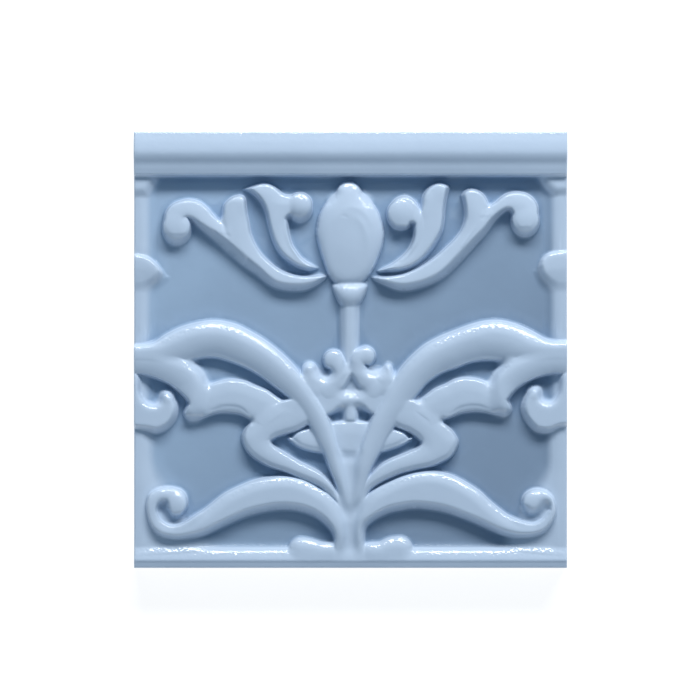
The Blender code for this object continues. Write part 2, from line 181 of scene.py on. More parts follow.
def soft_max(a, b, k):
    return np.maximum(a, b) + k / 4 * np.clip(1 - np.abs(a - b) / k, 0, None) ** 2


def ease(share):
    share = np.clip(share, 0, 1)
    return share * share * (3 - 2 * share)


def blend(pair, up):
    """The pair's first value where an edge looks up the tile, and its second where it looks down."""
    return pair[1] + (pair[0] - pair[1]) * up


def window(points, margin):
    """The rows and columns of the face that the points cover."""
    left, bottom = points[:, :2].min(0) - margin
    right, top = points[:, :2].max(0) + margin
    taken = np.where((across > left) & (across < right))[0]
    lines = np.where((upward > bottom) & (upward < top))[0]
    return slice(lines[0], lines[-1] + 1), slice(taken[0], taken[-1] + 1)


def blur(field, width):
    """Average a field over its neighbours, both ways, with a bell-shaped weight."""
    reach = math.ceil(3 * width / PITCH)
    weights = np.exp(-0.5 * (np.arange(-reach, reach + 1) * PITCH / width) ** 2)
    weights /= weights.sum()
    for axis in (0, 1):
        pad = [(reach, reach) if axis == a else (0, 0) for a in (0, 1)]
        padded = np.pad(field, pad, mode="edge")
        size = field.shape[axis]
        field = sum(w * np.take(padded, range(i, i + size), axis) for i, w in enumerate(weights))
    return field


def press(first, second, top=12.2, fall=(0.25, 0.25), reach=(5.0, 2.5), wall=(0.9, 1.5),
          roll=(0.7, 0.5), out=(0.3, 0.0), fillet=(1.0, 0.3), lip=0.16, tip=0.6, brow=0):
    """Raise one form between its two edges, which run the same way along it.

    Of every pair, the first is for an edge that looks up the tile and the second for one that
    looks down it: how steeply the top falls at the edge, how far in that fall begins, the width
    of the wall, how softly the wall's head rolls over, how far the foot lies outside the edge,
    and how softly the foot runs out. A third number in an edge's points is the wall's own width
    there, where it looks down. top is a height or a field of heights, lip is the depth of the
    fine line at the head of that wall, and tip is how much lower the form's narrow ends lie.
    A brow of 1 gives that wall a sloping band above its steep foot.
    """
    rails = [smooth_line(first), smooth_line(second)]
    loop = np.vstack([rails[0][:, :2], rails[1][::-1, :2]])
    ends = np.roll(loop, -1, axis=0)
    turn = -np.sign(np.sum(loop[:, 0] * ends[:, 1] - ends[:, 0] * loop[:, 1]))
    where = window(loop, 5.0)
    x, y = X[where], Y[where]
    within = inside(loop, x, y)
    sign = np.where(within, 1.0, -1.0)
    gaps, ups, widths = [], [], []
    for rail, side in zip(rails, (turn, -turn)):
        gap, place = nearest(rail, x, y)
        run = np.gradient(rail[:, :2], axis=0)
        look = side * run[:, 0] / np.maximum(np.hypot(run[:, 0], run[:, 1]), 1e-9)
        steps = np.arange(len(rail))
        up = ease(0.5 + 0.7 * np.interp(place, steps, look))
        down_width = np.interp(place, steps, rail[:, 2]) if rail.shape[1] > 2 else wall[1]
        gaps.append(gap)
        ups.append(up)
        widths.append(down_width + (wall[0] - down_width) * up)
    span = gaps[0] + gaps[1]
    soft_ups = [blur(up, 1.0) for up in ups]
    reaches = [blend(reach, up) for up in soft_ups]
    share = np.clip(span / (reaches[0] + reaches[1]), 0.02, 1)
    crown = np.broadcast_to(top, X.shape)[where] - tip * (1 - ease(span / 5.0))
    body = crown.copy()
    ramps, lines = [], []
    for gap, up, soft_up, far, width in zip(gaps, ups, soft_ups, reaches, widths):
        power = blend((1.7, 2.0), soft_up)
        drop = blend(fall, soft_up) * far * share / power
        body -= drop * np.clip(1 - gap / (far * share), 0, None) ** power
        from_foot = sign * gap + blend(out, up)
        climb = from_foot / width
        band = np.minimum(2.8 * climb, 0.8 + 0.22 * (climb - 0.3) / 0.7)
        climb += brow * (1 - up) * (band - climb)
        ramps.append(GROUND + climb * (crown - drop + 0.1 - GROUND))
        lines.append((1 - up) ** 2 * np.exp(-(((from_foot - width) / 0.45) ** 2)))
    body = blur(body, 0.4)
    by_first = gaps[0] < gaps[1]
    rolls = [blend(roll, up) for up in ups]
    raised = soft_min(soft_min(body, ramps[0], rolls[0]), ramps[1], rolls[1])
    raised -= lip * np.maximum(*lines)
    skirt = soft_min(body, np.where(by_first, *ramps), np.where(by_first, *rolls))
    runout = blend(fillet, np.where(by_first, *ups))
    face[where] = soft_max(face[where], np.where(within, raised, skirt), runout)


def press_finger(points, top, drop=1.2, hang=0.8, skirt=0.9):
    """Raise a soft finger of clay along a line. The third number of a point is its radius there.

    top is a height or a field of heights. The finger's back falls by drop at its edges, and where
    it looks down the tile a wall of the width hang shows below it.
    """
    line = smooth_line(points, 0.5)
    where = window(line, 8.0)
    gap, place = nearest(line, X[where], Y[where])
    radius = np.interp(place, np.arange(len(line)), line[:, 2])
    look = np.clip(np.gradient(gap, PITCH, axis=0), -1, 1)
    margin = 0.5 + (hang - 0.5) * np.clip(-look, 0, 1) ** 1.5
    top = np.broadcast_to(top, X.shape)[where]
    back = top - drop * (gap / radius) ** 2.2
    width = margin * (top - GROUND) / (top - drop - GROUND)
    ramp = GROUND + (radius + margin - gap) / width * (top - GROUND)
    height = soft_min(back, ramp, 0.4 + 0.5 * ease(0.5 + look))
    face[where] = soft_max(face[where], height, skirt)


def press_ball(x, y, radius, top, drop=1.2, hang=2.6, skirt=0.6):
    """Raise a small ball, which is a finger with no length."""
    press_finger([(x - 0.05, y, radius), (x + 0.05, y, radius)], top, drop, hang, skirt)


def press_dome(points, top, steepness, skirt=0.5):
    """Raise a form that swells like a blown skin held along its edge."""
    edge = smooth_line(points)
    where = window(edge, 2.0)
    within = inside(edge[:-1, :2], X[where], Y[where])
    swell = np.zeros(within.shape)
    for _ in range(6000):
        around = swell[:-2, 1:-1] + swell[2:, 1:-1] + swell[1:-1, :-2] + swell[1:-1, 2:]
        swell[1:-1, 1:-1] = np.where(within[1:-1, 1:-1], around / 4 + 1, 0)
    height = GROUND + (top - GROUND) * (swell / swell.max()) ** steepness
    face[where] = soft_max(face[where], np.where(within, height, 0), skirt)


def scribe(points, width, depth):
    """Draw a soft line into the face that fades at both ends. A negative depth raises it."""
    line = smooth_line(points)
    where = window(line, 3 * width)
    gap, place = nearest(line, X[where], Y[where])
    fade = np.sin(math.pi * np.clip(place / (len(line) - 1), 0, 1)) ** 0.6
    face[where] -= depth * fade * np.exp(-((gap / width) ** 2))


def rub(points, width, soft):
    """Rub the clay smooth along a line, over about the given width to each side."""
    line = smooth_line(points)
    where = window(line, 3 * width)
    gap, _ = nearest(line, X[where], Y[where])
    face[where] += (blur(face[where], soft) - face[where]) * np.exp(-((gap / width) ** 4))


def sink(points, floor_height, soft):
    """Hollow a small pocket down to a height, with sides that slope in over the width soft."""
    edge = smooth_line(points + points[:1])
    where = window(edge, 1.0)
    gap, _ = nearest(edge, X[where], Y[where])
    share = ease(gap / soft) * inside(edge[:-1, :2], X[where], Y[where])
    face[where] += np.minimum(floor_height - face[where], 0) * share


STRIP_TOP = 9.6
for side in (-1, 1):
    press([(side * 82, 64), (side * 82, -72)], [(side * 69.6, 64), (side * 69.6, -72)],
          top=STRIP_TOP, fall=(0.1, 0.1), reach=(3, 3), wall=(2.2, 2.2), roll=(1.6, 1.6),
          out=(1.0, 1.0), fillet=(1.2, 1.2), lip=0, tip=0)
# The ears
EAR = {"top": 10.8, "fall": (0.3, 0.3), "reach": (3, 4), "wall": (2.4, 2.4), "roll": (1.6, 1.6),
       "fillet": (1.0, 1.0), "lip": 0}
press([(-82, 64), (-74, 64), (-65.4, 64)],
      [(-82, 51.6), (-74, 51.8), (-70, 52.5), (-68, 55), (-66.5, 57.5), (-65.6, 60), (-65.4, 64)],
      **EAR)
press([(82, 64), (74, 64), (64, 64)],
      [(82, 52.3), (74, 52.3), (70, 52.6), (67.5, 54.6), (66.2, 56), (65, 58), (64, 60), (64, 64)],
      **EAR)
# The small leaves at mid height
SIDE_LEAF = {"top": 11.0 - 1.3 * ease((29 - Y) / 10), "fall": (0.3, 0.1), "reach": (2.5, 3),
             "wall": (0.9, 2.6), "roll": (0.8, 1.4), "fillet": (1.0, 1.6), "lip": 0, "tip": 1.2}
press([(-82, 33.6), (-75, 33.4), (-72, 33), (-70, 32.2), (-67.5, 30.3), (-66, 28.5), (-64, 25.2)],
      [(-82, 19), (-75, 19.5), (-71, 20), (-68, 21.5), (-66, 23), (-64, 25.2)],
      **SIDE_LEAF)
press([(82, 34.6), (75, 34.6), (72, 34.3), (70, 34), (68, 33.3), (66, 31.4), (64.3, 27.4)],
      [(82, 19), (75, 19.5), (71, 20), (67.5, 22), (65.5, 24.5), (64.3, 27.4)],
      **SIDE_LEAF)
# The fills behind the curled ends
CORNER_FILL = {"top": 9.8, "fall": (0.05, 0.05), "wall": (4.0, 4.0), "roll": (2.4, 2.4),
               "out": (1.8, 1.8), "fillet": (2.0, 2.0), "lip": 0, "tip": 0}
press([(-82, -26), (-82, -72)],
      [(-69.6, -26), (-69.6, -38), (-67.8, -42.5), (-64.8, -47), (-62, -52), (-58, -59), (-52, -65),
       (-48.4, -69.5)],
      **CORNER_FILL)
press([(82, -26), (82, -72)],
      [(69.6, -26), (69.6, -40), (67.4, -44.3), (65, -48), (62, -53), (59, -59), (55, -64),
       (54.2, -69.5)],
      **CORNER_FILL)


# Belt, ribbons and chevrons
# Behind the arches lies a woven band: a belt with pointed ends, two ribbons that run out to the
# drooping leaves, and two chevrons whose lower arms fall to the foot of the trunk.
press([(-20.8, -30.4), (-18.9, -28.4), (-15, -26.9), (-8, -25), (0, -24.3), (8, -25), (15, -27),
       (18.9, -28.6), (20.6, -30.4)],
      [(-20.8, -30.4), (-17.5, -32.9), (-14, -34.1), (-8, -35), (0, -36), (8, -35.2), (13.7, -33.7),
       (17.1, -32.4), (20.6, -30.4)],
      top=11.2, fall=(0.25, 0.2), wall=(1.0, 1.5), out=(0.3, 1.2), fillet=(0.6, 0.3), tip=0.9,
      brow=1)
RIBBON = {"top": 11.8, "fall": (0.3, 0.2), "reach": (5, 3), "out": (0.3, 1.4), "tip": 0, "brow": 1}
press([(-53, -12.9), (-50.1, -12.1), (-46.9, -11.1), (-41.7, -10), (-36.5, -10.7), (-33.1, -12.1),
       (-28.6, -13.9), (-25.8, -15.9), (-23.4, -17.3), (-20.5, -19.5)],
      [(-53, -22.8, 0.8), (-50.7, -22.0, 0.9), (-46.9, -20.8, 1.7), (-43.5, -20.6, 2.5),
       (-38.3, -21.2, 2.5), (-34.8, -22.7, 1.1), (-33.4, -23.4, 0.9), (-29, -26, 0.9)],
      **RIBBON)
press([(20.5, -19.5), (23.4, -17.3), (25.8, -15.6), (29.3, -13.2), (32.7, -11.8), (36.2, -10),
       (39.7, -9.4), (43.1, -9.7), (46.6, -10.7), (52, -13.2)],
      [(28, -25, 0.9), (31.3, -23.2, 0.9), (34.5, -22.2, 1.2), (37.9, -20.9, 2.2), (43.1, -20.2, 2.4),
       (46.6, -20.4, 1.8), (50.4, -21.0, 0.9), (52.2, -20.6, 0.8)],
      **RIBBON)
LEFT_CHEVRON = [
    (-17.5, -15.5), (-20.3, -16.6), (-23.4, -17.3), (-27.9, -19.4), (-31.3, -21.8), (-33.8, -24.2),
    (-36.5, -27.4), (-37.3, -30.1), (-36.5, -33), (-34.1, -36.2), (-31.3, -38.2), (-27.9, -40),
    (-22.7, -41.8), (-17.5, -43.9), (-13.3, -45.6), (-9.9, -47.4), (-7.1, -49.8), (-4.7, -52),
    (-1.9, -56.1),
]
LEFT_CHEVRON_INNER = [
    (-17.5, -15.5), (-13, -20), (-13.5, -24.2), (-15.8, -26), (-19.2, -27.7), (-22.7, -28.7),
    (-26.2, -30), (-27.6, -31.3), (-26.8, -32.9), (-24.4, -34.6), (-21, -36.7), (-17.5, -38.8),
    (-14, -40.5), (-10.6, -42.3), (-7.8, -44.7), (-6.1, -46.8), (-4.7, -49.5), (-2.9, -53),
    (-1.9, -56.1),
]
RIGHT_CHEVRON = [
    (17.5, -15.5), (20.6, -17), (23.4, -17.3), (25.8, -19.7), (29.3, -22.5), (32.7, -25.6),
    (35.5, -28.4), (36.9, -31.2), (36.2, -33.9), (34.5, -36.5), (31, -38.6), (27.5, -40),
    (22.3, -41.1), (17.1, -42.5), (13.7, -43.9), (10.2, -45.6), (6.8, -48), (4.3, -52), (2.2, -55.5),
]
RIGHT_CHEVRON_INNER = [
    (17.5, -15.5), (13.5, -20), (13.9, -24.5), (15.6, -26), (17.1, -26.7), (20.6, -28.1),
    (23.4, -30.1), (24.5, -31.9), (23.4, -33.6), (20.6, -35), (17.1, -36.4), (13.7, -37.8),
    (10.2, -39.8), (7.4, -42.3), (5.4, -45), (4.3, -47.8), (2.2, -55.5),
]
for outer, inner in ((LEFT_CHEVRON, LEFT_CHEVRON_INNER), (RIGHT_CHEVRON, RIGHT_CHEVRON_INNER)):
    press(outer, inner, top=12.2, fall=(0.3, 0.25), reach=(5, 4), out=(0.4, 0.8), brow=1)
rub([(-33.8, -24.2), (-31.3, -21.8), (-27.9, -19.4)], 1.6, 0.8)
rub([(24, -17.8), (27.6, -20.8), (31.4, -24.2)], 1.6, 0.8)


# Bud, cup and stem
# At the centre a stem rises from the knot and opens in a cup, which holds a plump closed bud.
# The bud has a small nub on top and a shallow oval hollow in its front.
press([(-3.5, 17), (-3.5, 8), (-3.5, -6)], [(3.0, 17), (3.0, 8), (3.0, -6)], top=11.0,
      fall=(0.4, 0.4), reach=(3, 3), wall=(1.8, 1.8), roll=(1.4, 1.4), out=(0.6, 0.6),
      fillet=(1.4, 1.4), lip=0, tip=0)
CUP = [
    (-6.6, 22.9), (-3.3, 23.3), (0, 23.4), (3, 23.3), (5.9, 22.9), (5.5, 20.6), (4.5, 18),
    (3.4, 16.2), (2.0, 15), (-0.3, 14.5), (-2.6, 15), (-4.0, 16.2), (-5.0, 18),
    (-6.1, 20.6), (-6.6, 22.9),
]
BUD = [
    (-0.5, 58.5), (1.3, 58.1), (2.7, 57), (3.5, 55.6), (4.3, 54.2), (6.2, 52.5), (8.2, 50.2), (10, 47),
    (11, 44), (11.6, 40), (11, 36), (10, 33), (8.8, 30), (6.8, 26.4), (4.6, 23.8), (2, 22.6),
    (-0.5, 22.4), (-3.4, 22.6), (-6, 23.8), (-7.9, 26.5), (-9.5, 31), (-10.5, 34), (-11.3, 37),
    (-11.8, 40), (-11.6, 43.5), (-11, 46.3), (-9.6, 49.4), (-7.6, 52), (-5.6, 53.8), (-4.8, 55.4),
    (-4, 57), (-2.4, 58.1), (-0.5, 58.5),
]
press_dome(CUP, 12.5, 0.44, 1.2)
press_dome(BUD, 13.0, 0.28)
rub([(-5.5, 52), (-0.5, 51), (5, 52)], 3.0, 1.2)
rub([(-6, 22.9), (0, 22.9), (5.4, 22.9)], 0.8, 0.5)
HOLLOW_DEPTH = 0.32
hollow = ((X + 1.2) / 7.2) ** 2 + ((Y - 35.7) / 11.0) ** 2
face -= HOLLOW_DEPTH * ease(1.25 - hollow) * (hollow < 1.25)
scribe([(-3, 48.2), (0, 49.4), (3.4, 48.6), (6, 46.2), (7.6, 42.6)], 1.1, -0.14)
scribe([(1.6, 46), (4, 43.6), (5.2, 40.4), (5, 37)], 0.9, -0.1)
scribe([(-3.4, 46.3), (-2.2, 46.4), (-0.8, 45.6)], 0.4, 0.1)


# Upper leaves
# Left and right of the bud spring two bundles of leaves. Each has a short leaf with a ball at
# its side, a long leaf with a broad lobe, and a curled arm that ends in a hanging ball.
CURLED_ARM = {"top": 12.5, "fall": (0.3, 0.3), "reach": (5, 3)}
LONG_LEAF = {"top": 12.5, "fall": (0.24, 0.3), "reach": (6, 2.2)}
SHORT_LEAF = {"top": 12.4, "fall": (0.3, 0.3), "reach": (5, 2.5), "out": (0.3, 0.2)}
press([(-60, 37.2, 2.6), (-62.3, 38, 2.2), (-64, 39.8, 1.4), (-64.9, 42.3, 1), (-64.9, 45, 1),
       (-64.2, 47.8, 1), (-61.8, 50.6, 1), (-58.4, 52, 1), (-55.6, 52.3, 1), (-52.1, 51.3, 1),
       (-49.4, 49.2, 1), (-47.3, 46.8, 1), (-45.4, 45, 1), (-43.5, 43.4, 1), (-41, 41, 1), (-38, 37, 1),
       (-35, 33, 1)],
      [(-60, 37.2, 2.6), (-57.6, 38, 2.2), (-56, 39.8, 1.4), (-55.5, 41.8, 1.2), (-56, 43.7, 1.2),
       (-56.9, 45, 1.2), (-55.4, 44.5, 1.4), (-53.9, 43, 1.8), (-51.1, 40.5, 2.4), (-48, 37.8, 3.2),
       (-44.5, 34.6, 3.6), (-41, 31.5, 3.6), (-38, 29, 3.4)],
      **CURLED_ARM)
press([(-38.6, 53.7), (-37.2, 53.3), (-36.2, 52), (-35.9, 50.2), (-35.5, 46.8), (-34.8, 43.3),
       (-34.1, 39.8), (-32.7, 36.4), (-30.7, 33.3), (-27.9, 30.5), (-24.4, 27.9), (-21, 26.5),
       (-17.5, 25.8), (-13.3, 25.8), (-10, 26.1), (-8.1, 25.4)],
      [(-38.6, 53.7, 2), (-40.6, 53.2, 1.8), (-42.6, 51.9, 1.6), (-44, 50.2, 1.4), (-44.6, 48.2, 1.4),
       (-45, 46, 1.4), (-46.4, 43.5, 1.4), (-47.6, 41, 2), (-47.2, 38.4, 2.8), (-44.5, 34.6, 3.6),
       (-41.5, 32, 3.6), (-37.2, 28.4, 3.6), (-33.1, 25.6, 3.2), (-29.6, 22.9, 2.8),
       (-26.2, 21.1, 2.6), (-21, 20.1, 2.6), (-15.8, 20.4, 2.4), (-12.3, 21.8, 1.8),
       (-9.5, 23.8, 1.2), (-8.1, 25.4, 0.8)],
      **LONG_LEAF)
scribe([(-45, 48), (-44.7, 46), (-44.1, 43.5), (-43.3, 41), (-42.3, 38.5)], 0.8, 0.35)
press_ball(-60.2, 42.9, 4.6, 12.7, drop=0.9)
press([(-37.2, 55.6), (-35, 56.4), (-32.5, 57.3), (-30, 57.8), (-28, 57.5), (-26, 56.4), (-24.2, 54.8),
       (-22.5, 53.9), (-20, 53.6), (-18.5, 51), (-19, 48), (-20.3, 46.2), (-21.5, 45.2), (-21.4, 43.6),
       (-21.3, 42), (-21, 40), (-20.5, 38), (-19.8, 36), (-18.5, 34), (-17, 32), (-15, 30.4),
       (-13, 29.3), (-11.2, 28.2)],
      [(-37.2, 55.6), (-35.6, 55.0), (-34, 53.8), (-32.2, 52), (-31, 50.2), (-30, 48), (-29.4, 46),
       (-29, 44), (-28.4, 41.5), (-27.5, 38.5), (-26.5, 36), (-25, 33.5), (-23, 31.4), (-21, 29.9),
       (-19, 28.6), (-17, 27.8), (-14.5, 27.3), (-11.2, 28.2)],
      **SHORT_LEAF)
scribe([(-21.9, 44.5), (-22, 42.5), (-21.7, 40), (-20.9, 37), (-19.6, 34.6), (-17.8, 32.3),
        (-15.4, 30.5), (-12.6, 29)], 0.7, -0.4)
press_ball(-17.7, 50.2, 4.1, 13.0, drop=1.3)
press([(60.5, 40, 2.4), (58.4, 40.6, 2), (57, 42.2, 1.4), (56, 44.4, 1.2), (55.7, 46.4, 1.2),
       (54.9, 48, 1.2), (53.4, 47.4, 1.4), (50.8, 44.7, 2), (47.6, 40.3, 2.4), (44.4, 36.5, 2.8),
       (41.2, 32.9, 3), (38, 29.4, 3)],
      [(60.5, 40, 2.4), (62.6, 40.6, 2), (64, 42.2, 1.4), (64.9, 44.6, 1), (65.3, 47, 1), (65, 49.8, 1),
       (63.5, 52.4, 1), (61.5, 54, 1), (59, 54.8, 1), (56, 54.8, 1), (53.8, 54.1, 1), (51.8, 52.8, 1),
       (50, 51.3, 1), (48.4, 50.4, 1), (46.5, 49.2, 1), (44, 46.5, 1), (41, 42, 1), (38, 37, 1)],
      **CURLED_ARM)
press([(38.2, 53.2), (39, 49.5), (39.2, 45.5), (38, 41.6), (35.6, 38.3), (32.4, 35.2), (28.6, 32),
       (25.2, 29.8), (21.4, 27.8), (17.5, 26.4), (13, 25.7), (9.5, 25.5), (7.2, 24.9)],
      [(38.2, 53.2, 1.2), (39.6, 55, 1.2), (41.5, 55.8, 1.2), (43.5, 55.5, 1.2), (45.5, 54.4, 1.2),
       (46.9, 52.8, 1.2), (48, 50.8, 1.2), (49.6, 48.8, 1.2), (50.6, 46.4, 1.6), (47.6, 40.3, 2.4),
       (44.4, 36.5, 2.8), (41.2, 32.9, 3), (38, 29.4, 3), (34.8, 26.2, 3), (31.6, 23.9, 2.8),
       (25.2, 21.3, 2.6), (18.8, 20.1, 2.6), (15.4, 20.6, 2.4), (12.4, 21.9, 1.8), (9.5, 23.4, 1.2),
       (7.2, 24.9, 0.8)],
      **LONG_LEAF)
scribe([(48.4, 51.6), (48, 49.6), (46.9, 47.6), (45.2, 45)], 0.8, 0.3)
press_ball(60.5, 45.3, 4.5, 12.7, drop=0.9, hang=2.2)
press([(24.2, 50.4), (24.6, 52.6), (25.6, 54.6), (27.2, 56.4), (29.6, 57.7), (32, 57.7), (33.6, 57),
       (34.3, 56.2)],
      [(24.2, 50.4), (23.5, 46), (22, 40), (19.5, 34.6), (15, 30.5), (11, 28.2), (9.2, 27.1),
       (12, 26.8), (17, 26.8), (20.7, 27.8), (24.6, 30.2), (27.8, 33.6), (30.3, 37.4), (31.9, 40.8),
       (32.6, 44.6), (32.9, 48.5), (33.5, 52.6), (34.3, 56.2)],
      **SHORT_LEAF)
press([(17.3, 41, 1.7), (19.4, 41.3, 1.4), (20.8, 42.3, 1.2), (21.3, 43.2, 1.2), (21.5, 41.6, 1.2),
       (21.4, 38.9, 1.2), (20.6, 36, 1.2), (19.5, 33.5, 1.2), (17.5, 31.3, 1.2), (15, 29.5, 1.2),
       (12, 28.1, 1.2), (9.5, 27.2, 1.2)],
      [(17.3, 41, 1.7), (15, 41.8, 1.4), (13.4, 43.6, 1.2), (12.8, 46.2, 1.2), (13.2, 49, 1.2),
       (14.6, 51.6, 1.2), (17, 53.2, 1.2), (19.5, 53.4, 1.2), (21.7, 52.2, 1.2), (23.6, 50.2, 1.2),
       (25.2, 47, 1.2), (26, 44, 1.2), (26, 41, 1.2), (25, 37, 1.2), (22.5, 33, 1.2),
       (18.5, 29.8, 1.2), (14, 28, 1.2), (9.5, 27.2, 1.2)],
      top=12.4, fall=(0.35, 0.3), reach=(4, 3))
press_ball(17.3, 47.3, 4.4, 12.9, drop=0.9, hang=1.8)


# Arches, drooping leaves and scrolls
# Two broad arches spring from the sides and fall together to the foot. A drooping leaf grows
# over each arch at the side, and a small scroll curls below it. Their upper edges roll over softly.
SCROLL = {"top": 12.2, "fall": (0.5, 0.4), "reach": (3.5, 3.5), "wall": (1.6, 2.0),
          "roll": (1.2, 1.0), "tip": 0.3}
SCROLL_END = {"top": 11.7, "drop": 0.6, "hang": 0.5, "skirt": 1.6}
ARCH = {"top": 13.2, "fall": (0.68, 0.55), "reach": (4.6, 7), "wall": (1.2, 1.4),
        "roll": (0.9, 0.5), "out": (0.7, 1.5), "fillet": (1.2, 0.3), "lip": 0.1, "tip": 1.2, "brow": 1}
DROOP = {"top": 13.0, "fall": (0.6, 0.4), "reach": (4, 5), "wall": (1.0, 1.3),
         "roll": (0.9, 0.5), "out": (0.4, 1.4), "lip": 0.1, "tip": 1.2, "brow": 1}
press([(-82, -6), (-76, -6), (-73.4, -6.8), (-72.1, -9.4), (-71.8, -12.1), (-71.7, -14.9),
       (-70.4, -17.3), (-68.7, -18.2), (-67, -17.8), (-66.1, -16.4), (-65.9, -14.9), (-65.2, -13.9),
       (-64.2, -13.6)],
      [(-82, -28.4), (-75, -28.4), (-70.1, -28.9), (-67.7, -29.4), (-64.3, -28.5), (-61.8, -26.7),
       (-59.8, -23.6), (-59.3, -20.1), (-60.4, -16.8), (-62.3, -14.4), (-64.2, -13.6)],
      **SCROLL)
press_ball(-63.6, -16.3, 2.1, **SCROLL_END)
rub([(-66.2, -17.2), (-64.6, -14), (-62.4, -15)], 2.2, 0.8)
press([(82, -6), (76, -6), (73, -6.6), (71.6, -9.2), (71.4, -12), (71.1, -14.5), (69.8, -16.8),
       (68.2, -17.4), (66.7, -16.6), (66.2, -15), (66, -13.4), (65.4, -12.4), (64.4, -12.1)],
      [(82, -27.7), (75, -27.7), (72.6, -28), (69.8, -29.1), (67.4, -29.4), (63.9, -28.7),
       (61.5, -26.7), (59.4, -23.6), (58.7, -20.1), (59.8, -16.4), (62.2, -13.2), (64.4, -12.1)],
      **SCROLL)
press_ball(63.7, -14.9, 2.1, **SCROLL_END)
rub([(66.4, -16), (64.8, -12.6), (62.4, -13.8)], 2.2, 0.8)
press([(-82, 1.5), (-75, 1.7), (-71, 2), (-67.7, 2.8), (-64.3, 5), (-59.1, 7.6), (-52.1, 9.5),
       (-46.9, 10), (-40, 8.7), (-34.8, 6.2), (-29.6, 3.1), (-24.4, -1), (-21, -4.2), (-17.5, -8),
       (-14, -12.8), (-10.6, -18), (-8.1, -22.5), (-6.1, -27.7), (-4.7, -32.9), (-3.3, -38.1),
       (-2.1, -43.3), (-1.4, -48.5), (-1.4, -53)],
      [(-82, -4), (-72, -4), (-64, -5), (-58, -3.9), (-54.5, -2.5), (-52.1, -1.7), (-46.9, -1.4),
       (-41.7, -2.8), (-36.5, -4.8), (-31.3, -7.6), (-26.2, -11.4), (-21, -15.6), (-17.5, -19.7),
       (-14.7, -23.6), (-12.3, -27.7), (-10.6, -31.2), (-8.8, -34.6), (-7.1, -39.1), (-5.4, -43.3),
       (-3.6, -47.7), (-1.4, -53)],
      **ARCH)
press([(2.2, -38), (1.9, -44), (1.2, -50), (1.2, -53)][::-1]
      + [(3.3, -34.4), (4.2, -31.4), (5.7, -27.2), (7.8, -22.3), (10.2, -17.8), (12, -13.9),
         (14.4, -10.4), (17.1, -6.7), (21.3, -2.1), (25.8, 1.7), (31, 4.5), (36.2, 6.6), (41.4, 8.5),
         (46.6, 9.8), (51.8, 10), (57, 8.8), (62.2, 6.6), (64.9, 5.1), (67.4, 3.8), (70, 3.1),
         (75, 3.1), (82, 3.1)],
      [(1.2, -53), (2.6, -50.5), (4, -46.8), (5.4, -43.3), (6.8, -39.8), (8.5, -36.4), (10.6, -32.9),
       (12.3, -29.4), (14.4, -26), (16.5, -23.2), (18.9, -20.1), (21, -16.6), (23, -13.9),
       (25.8, -10.6), (31, -7), (36.2, -5.1), (41.4, -3.1), (46.6, -2.4), (51.8, -2.8), (56, -4),
       (62, -5), (70, -4), (82, -4)],
      **ARCH)
press([(-82, 0.8), (-75, 0.7), (-67.7, 0.6), (-62.5, -1), (-57.3, -3.1), (-53.9, -5.2),
       (-51.4, -8), (-50.4, -10.6), (-50.3, -13.2), (-51, -17), (-52.4, -20.6), (-54.9, -23)],
      [(-82, -7), (-75, -7.2), (-71.2, -7.5), (-66, -9.2), (-62.5, -10.9), (-59.1, -13.4),
       (-56.6, -15.9), (-56, -18), (-56.8, -20), (-56.8, -22), (-54.9, -23)],
      **DROOP)
press_finger([(-53.4, -16, 1.8), (-54.1, -19.4, 1.5), (-55.0, -21.6, 1.2)], 12.3, skirt=0.8)
rub([(-54.6, -4.6), (-51.8, -7.6), (-50.5, -10.6), (-50.4, -13.2), (-51, -17), (-52.4, -20.6)],
    2.2, 1.1)
rub([(-52.6, -20.4), (-54.4, -23.4)], 3.0, 0.9)
press([(82, 0.9), (75, 1), (69.1, 1), (63.9, 0.3), (58.7, -1.4), (54.6, -3.5), (51.8, -6.2),
       (49.7, -9), (48.8, -12.1), (49.1, -15.6), (50.3, -18.8), (53.2, -21.6)],
      [(82, -7.2), (75, -7.3), (70.8, -7.1), (65.6, -8.1), (60.4, -10.3), (57, -12.6), (54.9, -15),
       (54.3, -17.2), (54.9, -18.8), (54.6, -20.6), (53.2, -21.6)],
      **DROOP)
press_finger([(51.6, -14.8, 1.8), (52.4, -18, 1.5), (53.3, -20, 1.2)], 12.3, skirt=0.8)
rub([(54.6, -3.5), (51.8, -6.2), (49.7, -9), (48.8, -12.1), (49.1, -15.6), (50.3, -18.4)], 2.2, 1.1)
rub([(50.2, -18.4), (52.8, -21.8)], 3.0, 0.9)


# Knot and trunk
# Where the arches cross, the space between them is filled. Two hooks and two leaf tips stand up
# from the filling like soft fingers, and below it a short stem runs down behind the belt.
KNOT_TOP = [
    (-17, -9), (-14, -7.0), (-11.4, -7.6), (-9, -8.9), (-7, -8.8), (-5, -7.2), (-2.6, -5.4),
    (-0.4, -4.8), (2, -5), (4, -5.6), (6, -6.8), (8.4, -6.8), (10.5, -7.4), (13, -7.2), (16.2, -9),
]
KNOT_FOOT = [
    (-17, -9), (-15.5, -15), (-12, -22), (-9.4, -23.6), (-6.2, -22.2), (-3.4, -20.8), (-1.6, -19.6),
    (1.6, -19.2), (3.6, -20.2), (6.4, -22), (8.8, -23.4), (12, -21), (15, -15), (16.2, -9),
]
STEM_FOOT_TOP = 11.1 - 3.0 * ease((-24.4 - Y) / 1.6)
press([(-3, -15), (-3, -26)], [(3, -15), (3, -26)], top=STEM_FOOT_TOP, fall=(0.5, 0.5),
      reach=(3, 3), wall=(1.4, 1.4), fillet=(1.4, 1.4), lip=0, tip=0)
press(KNOT_TOP, KNOT_FOOT, top=11.8, fall=(0.4, 0.3), reach=(3, 2.5), wall=(2.0, 1.2),
      roll=(2.2, 0.8), out=(0.8, 0.4), fillet=(1.6, 0.3), lip=0, tip=0)
